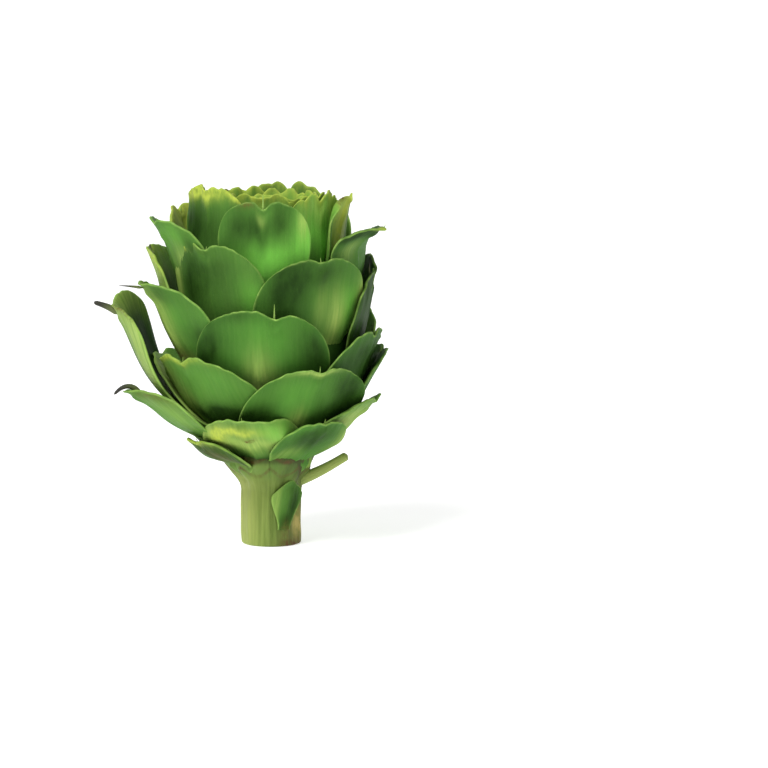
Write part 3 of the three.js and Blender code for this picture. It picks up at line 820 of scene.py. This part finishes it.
def fibrous_stalk_skin():
    """Stalk skin, fibrous and ridged, pale green, bleached in streaks and paler still with painted
    light on the left, darker with painted shade on the right, browner near the cut.
    """
    material, tree = new_material("fibrous stalk skin")
    fibres = grain(tree, 1.4, 30, 0.0, 1.0, detail=5.0)
    deep, fresh = linear("#64782f"), linear("#829447")
    green = add(tree, "ShaderNodeMix", {0: fibres, 6: deep, 7: fresh}, 2, data_type="RGBA")
    colour = layered(tree, green, (
        # Bleached streaks, laid mostly on the left side as painted light.
        ("pale", "#a3ad5f", grain(tree, 2, 24, 0.5, 1.1)),
        ("bright", "#5c8034", grain(tree, 5, 14, 0.5, 1.1)),
        # Painted shade on the right side and under the bracts.
        ("dark", "#3f4a1c", grain(tree, 3, 9, 0.5, 1.1)),
        ("dry", "#a89a58", grain(tree, 2, 4, 0.3, 1.2)),
        ("brown", "#57401f", grain(tree, 1.4, 3, 0.2, 1.3)),
    ))
    bump = add(tree, "ShaderNodeBump", {"Height": fibres, "Strength": 0.6, "Distance": 0.5 * MM})
    shader = add(tree, "ShaderNodeBsdfPrincipled", {
        "Base Color": colour,
        "Normal": bump,
        "Roughness": 0.6,
        "IOR": 1.4,
        "Specular IOR Level": 0.3,
        "Subsurface Weight": 0.08,
        "Subsurface Radius": (0.8, 1.0, 0.4),
        "Subsurface Scale": 1.5 * MM,
    })
    add(tree, "ShaderNodeOutputMaterial", {"Surface": shader})
    return material


def dried_thorn():
    """Thorn that has dried hard: dull brown, nearly black at the point, or still soft and pale."""
    material, tree = new_material("dried thorn")
    fibres = grain(tree, 0.6, 3, 0.0, 1.0)
    deep, worn = linear("#33301f"), linear("#5f5a38")
    brown = add(tree, "ShaderNodeMix", {0: fibres, 6: deep, 7: worn}, 2, data_type="RGBA")
    whole = grain(tree, 3, 3, 0.9, 1.0)
    colour = layered(tree, brown, (("pale", "#86a84c", whole), ("dark", "#1d1a14", whole)))
    dull = {"Base Color": colour, "Roughness": 0.6, "IOR": 1.45}
    shader = add(tree, "ShaderNodeBsdfPrincipled", dull)
    add(tree, "ShaderNodeOutputMaterial", {"Surface": shader})
    return material


# Pieces

# The node that a piece stands for, and its material slot
STEM = ("stem", "stem_green")
OUTER = ("outer_bracts", "leaf_green")
INNER = ("inner_bracts", "crown_green")


def bract_group(name, numbers, material, node, slot, columns, rows):
    """Several bracts as one piece."""
    bracts = [describe_bract(n) for n in numbers]
    shells = [blade(bract, midrib(bract), columns, rows) for bract in bracts]
    piece(name, join(shells), material, node, slot)


def flesh_core(material):
    """The flesh behind the outer bracts, seen only in the deep gaps: the closed head's outline less
    the depth of the flesh, and no slimmer than the neck. Its dark colour is painted shade for the gaps."""
    z = np.linspace(CORE_FOOT, CORE_TOP, 60)
    r = np.maximum(envelope(z) - CORE_DEPTH, NECK_RADIUS - 2)
    profile = [(0, CORE_FOOT), *zip(r, z), (0, CORE_TOP)]
    piece("flesh_core", ringed(*revolved(profile, 96), dark=0.7), material, *OUTER)


def flesh_dome(material):
    """The domed flesh behind the inner bracts, a little under the CAD dome. Its dark colour is painted
    shade for the gaps between them.
    """
    r = np.linspace(DOME_RADIUS - 0.3, 2, 30)
    top = dome_height(0.0) - 0.5
    profile = [(0, CORE_TOP + SEAM), *zip(r, dome_height(r) - 0.5), (0, top)]
    piece("flesh_dome", ringed(*revolved(profile, 96), dark=0.7), material, *INNER)


def stalk_swell(azimuth, height):
    """The stalk's radius as a multiple of the plain one. It adds soft ribs that wander with the
    height, two finer sets of ridges, the folds that old leaves left near the top, and a collar,
    slimmer on the bare side. All but the flat cut has them."""
    azimuth = np.where(azimuth > math.pi, azimuth - 2 * math.pi, azimuth)
    grown = smooth((height + 2) / 8)
    coarse = RIB_DEPTH * np.cos(RIB_COUNT * (azimuth + 0.15 * np.sin(height / 7)))
    fine = 0.08 * np.cos(31 * azimuth + 0.1 * height) + 0.05 * np.cos(53 * azimuth - 0.07 * height)
    folds = np.cos(RIB_COUNT * azimuth + 0.3 * (height - 30)) * smooth((height - 26) / 5)
    collar = COLLAR_DEPTH * smooth((height - COLLAR_FOOT) / 12)
    collar = collar * (1 - 0.8 * bell(azimuth - BARE_AZIMUTH, 0.7))
    added = coarse * grown + fine * grown + FOLD_DEPTH * folds + collar
    return 1 + added / STEM_RADIUS * (height > 0.1)


def stalk_colouring(azimuth, height):
    """How strongly each colour shows on the stalk, from 0 to 1: paler with painted light on the left,
    darker with painted shade on the right and at the top under the bracts, dry and worn brown at the
    lower right, greener at the neck with brown scars where its folds meet."""
    left, right = smooth((-azimuth - 0.1) / 1.1), smooth((azimuth + 0.5) / 1.4)
    neck = smooth((height - 27) / 8)
    folded = np.abs(np.sin(0.5 * RIB_COUNT * azimuth))
    scars = bell(np.cos(2 * math.pi * (0.6 * folded + height / 7)) - 1, 0.35)
    worn_edge = 1.3 * bell(azimuth - 0.9, 0.6) * bell(height, 3)
    worn_patch = 0.5 * bell(azimuth - 0.5, 0.2) * bell(height - 6, 5)
    shaded_neck = 0.7 * neck * bell(azimuth - 0.8, 0.4) + smooth((height - 36) / 3)
    return dict(
        # Painted light on the left side, broken into bleached streaks.
        pale=0.9 * left * (azimuth > -2.8) * (1 - 0.5 * neck),
        bright=0.8 * neck + 0.4 * bell(azimuth - 0.5, 0.5),
        # Painted shade on the right side and under the bracts.
        dark=0.7 * right + shaded_neck,
        dry=1.3 * bell(azimuth - 1.1, 0.3) * bell(height - 9, 6),
        brown=worn_edge + worn_patch + 0.7 * neck * scars,
    )


def stalk(material):
    """The stalk: ribs and fibres along it, a neck that widens to a collar under the bracts, and a
    flat cut end with a rounded edge."""
    z = np.concatenate([np.linspace(0.25, 1, 4), np.linspace(1.5, COLLAR_TOP, 84)])
    r = neck_radius(z) - CUT_ROUNDING * np.clip(1 - z, 0, 1) ** 2
    edge_r = STEM_RADIUS - CUT_EDGE_INSET
    profile = [(0, 0), (edge_r - 0.5, 0), (edge_r, 0.04), *zip(r, z), (0, COLLAR_TOP)]
    rings, first, last, skin = revolved(profile, 240, stalk_swell)
    azimuth = np.arctan2(rings[..., 0], -rings[..., 1]).ravel()
    shown = stalk_colouring(azimuth, rings[..., 2].ravel())
    for kind, amount in shown.items():
        shown[kind] = np.append(amount, [END_COLOURS.get(kind, 0.0)] * 2)
    piece("stalk", ringed(rings, first, last, skin, **shown), material, *STEM)


def stalk_leaf(material):
    """The small scale leaf pressed to the stalk: a narrow foot, a broad middle and a pointed tip
    that leans to the right and lifts."""
    v = np.linspace(0, 1, 40)
    heights = mix(SCALE_FOOT, SCALE_TIP, v) + 1.5
    line = (heights - heights[0], STEM_RADIUS + mix(0.1, 1.0, v), 1.2 * v**3, heights)
    bract = describe_bract(STALK_LEAF)
    bract.update(azimuth=math.radians(SCALE_AZIMUTH - 9), half_width=SCALE_HALF_WIDTH + 1.5)
    bract.update(notch=0.0, plump=0.9, layer=0.4, sway=0.16, cap_power=1.25, foot=0.35)
    bract.update(left=0.4, right=0.4)
    piece("stalk_leaf", blade(bract, line, 32, 40), material, *STEM)


def leaf_stump(material):
    """The stump of a cut leaf: a tapered bar with a rounded end, which sags by half a sine."""
    (r0, z0), (r1, z1) = STUMP_START, STUMP_END
    t = np.linspace(0, 1, 40)
    height = mix(z0, z1, t) - np.sin(math.pi * t)
    radii = mix(STUMP_RADII[0], STUMP_RADII[1], smooth(t) ** 0.8)
    radii = radii * np.sqrt(np.clip((1.001 - t) / 0.03, 0, 1))
    shape = swept(mix(r0, r1, t), height, radii, math.radians(STUMP_AZIMUTH), 32, 3)
    piece("leaf_stump", ringed(*shape, pale=0.8, bright=0.3), material, *STEM)


def spines(material):
    """Thorns in the notches: slim cones along an arc that starts a little inside the blade. They
    swell from the foot and then thin out, pale where soft and dark at the point."""
    sides = 10
    shells = []
    for n in range(FIRST_BRACT, FIRST_INNER_BRACT):
        bract = describe_bract(n)
        own = THORNS.get(n, {})
        lengths, radii, leans, heights = midrib(bract)
        bent = radii + leans * lean_share(bract, bract["aside"])
        foot = lengths[-1] - bract["notch"] - own.get("start", 1.5)
        out, back = np.interp([foot, foot - 2], lengths, bent)
        high, low = np.interp([foot, foot - 2], lengths, heights)
        onwards = math.degrees(math.atan2(out - back, high - low))
        first, last = own.get("turns", (onwards, onwards - 30))
        t = np.linspace(0, 1, 20)
        angle = np.radians(mix(first, last, smooth(t)))
        step = own.get("length", 3 + 1.5 * draw(n, 4)) / len(t)
        outs = out - THORN_SUNK + np.cumsum(np.sin(angle)) * step
        ups = high + np.cumsum(np.cos(angle)) * step
        thinning = (1 - own.get("taper", 0.85) * t) * smooth(0.3 + t / 0.3)
        thick = own.get("radius", 0.4) * thinning * np.sqrt(np.clip((1.01 - t) / 0.08, 0, 1))
        azimuth = bract["azimuth"] + bract["aside"] * bract["half_width"] / out
        soft = own.get("soft", float(n not in THORNS))
        dark = np.append(np.repeat((1 - soft) * smooth(t * 1.6 - 0.3), sides), [0, 1 - soft])
        shape = swept(outs, ups, thick, azimuth, sides, n)
        shells.append(ringed(*shape, pale=mix(0.25, 1, soft), dark=dark))
    piece("spines", join(shells), material, *OUTER)


bract_skin = waxy_bract_skin()
stalk_skin = fibrous_stalk_skin()
thorn_skin = dried_thorn()

stalk(stalk_skin)
stalk_leaf(bract_skin)
leaf_stump(stalk_skin)
bract_group("bracts_round_the_neck", range(FIRST_BRACT, -7), bract_skin, *OUTER, 48, 44)
bract_group("bracts_of_the_side", range(-7, 4), bract_skin, *OUTER, 48, 44)
bract_group("bracts_of_the_shoulder", range(4, FIRST_INNER_BRACT), bract_skin, *OUTER, 48, 44)
bract_group("bracts_of_the_crown", range(FIRST_INNER_BRACT, 28), bract_skin, *INNER, 44, 36)
bract_group("bracts_of_the_bud", range(28, LAST_BRACT + 1), bract_skin, *INNER, 32, 30)
spines(thorn_skin)
flesh_core(bract_skin)
flesh_dome(bract_skin)


# Stage, light and camera

FLOOR_FRONT = -3.0
FLOOR_BACK = 3.0
BEND_RADIUS = 1.5
WALL_TOP = 6.0
HALF_SPAN = 6.0
LAMP_AIM_HEIGHT = 0.08


def backdrop():
    """A pale floor that curves up far behind into a wall: one sheet, its section a line, a quarter
    circle and a line, swept sideways. It glows a little, so that it stays white."""
    bend = np.linspace(0, math.pi / 2, 24)
    y = [FLOOR_FRONT, *(FLOOR_BACK + BEND_RADIUS * np.sin(bend)), FLOOR_BACK + BEND_RADIUS]
    z = [0.0, *(BEND_RADIUS * (1 - np.cos(bend))), WALL_TOP]
    count = len(y)
    points = [(x, *place) for x in (HALF_SPAN, -HALF_SPAN) for place in zip(y, z)]
    faces = [(i, i + 1, i + 1 + count, i + count) for i in range(count - 1)]
    mesh = bpy.data.meshes.new("pale_backdrop")
    mesh.from_pydata(points, [], faces)
    mesh.polygons.foreach_set("use_smooth", np.ones(len(faces), bool))
    material, tree = new_material("white paper")
    shader = add(tree, "ShaderNodeBsdfPrincipled", {
        "Base Color": linear("#f4f4f4"),
        "Roughness": 0.9,
        "Emission Color": linear("#ffffff"),
        "Emission Strength": 0.5,
    })
    add(tree, "ShaderNodeOutputMaterial", {"Surface": shader})
    mesh.materials.append(material)
    made = bpy.data.objects.new("pale_backdrop", mesh)
    bpy.context.scene.collection.objects.link(made)


def lamp(name, place, size, power):
    """A square area light at a place in metres, turned towards the middle of the artichoke."""
    data = bpy.data.lights.new(name, "AREA")
    data.size = size
    data.energy = power
    made = bpy.data.objects.new(name, data)
    made.location = place
    towards = Vector((0, 0, LAMP_AIM_HEIGHT)) - Vector(place)
    made.rotation_euler = towards.to_track_quat("-Z", "Y").to_euler()
    bpy.context.scene.collection.objects.link(made)


PIXELS = 768
MM_PER_PIXEL = 0.4286
STEM_PIXEL_X = 271
GROUND_PIXEL_Y = 543
ELEVATION = math.radians(8)
CAMERA_DISTANCE = 2.5
SENSOR_WIDTH = 36


def camera():
    """A long lens at the photograph's angle, with the artichoke left of the middle."""
    view_width = PIXELS * MM_PER_PIXEL * MM
    aim_x = (PIXELS / 2 - STEM_PIXEL_X) * MM_PER_PIXEL * MM
    aim_z = (GROUND_PIXEL_Y - PIXELS / 2) * MM_PER_PIXEL * MM / math.cos(ELEVATION)
    data = bpy.data.cameras.new("camera")
    data.sensor_width = SENSOR_WIDTH
    data.lens = SENSOR_WIDTH * CAMERA_DISTANCE / view_width
    made = bpy.data.objects.new("camera", data)
    back, up = CAMERA_DISTANCE * math.cos(ELEVATION), CAMERA_DISTANCE * math.sin(ELEVATION)
    made.location = (aim_x, -back, aim_z + up)
    made.rotation_euler = (math.pi / 2 - ELEVATION, 0, 0)
    bpy.context.scene.collection.objects.link(made)
    bpy.context.scene.camera = made


def surroundings():
    """An even pale sky, dim enough that the gaps between the bracts stay dark."""
    world = bpy.data.worlds.new("studio")
    world.use_nodes = True
    world.node_tree.nodes.clear()
    sky = add(world.node_tree, "ShaderNodeBackground", {"Color": linear("#ffffff"), "Strength": 0.34})
    add(world.node_tree, "ShaderNodeOutputWorld", {"Surface": sky})
    bpy.context.scene.world = world


backdrop()
lamp("window light", (-0.9, -1.2, 1.7), 1.0, 42)
lamp("front fill", (1.2, -1.8, 0.9), 1.2, 7)
surroundings()
camera()
bpy.context.scene.view_settings.view_transform = "Standard"
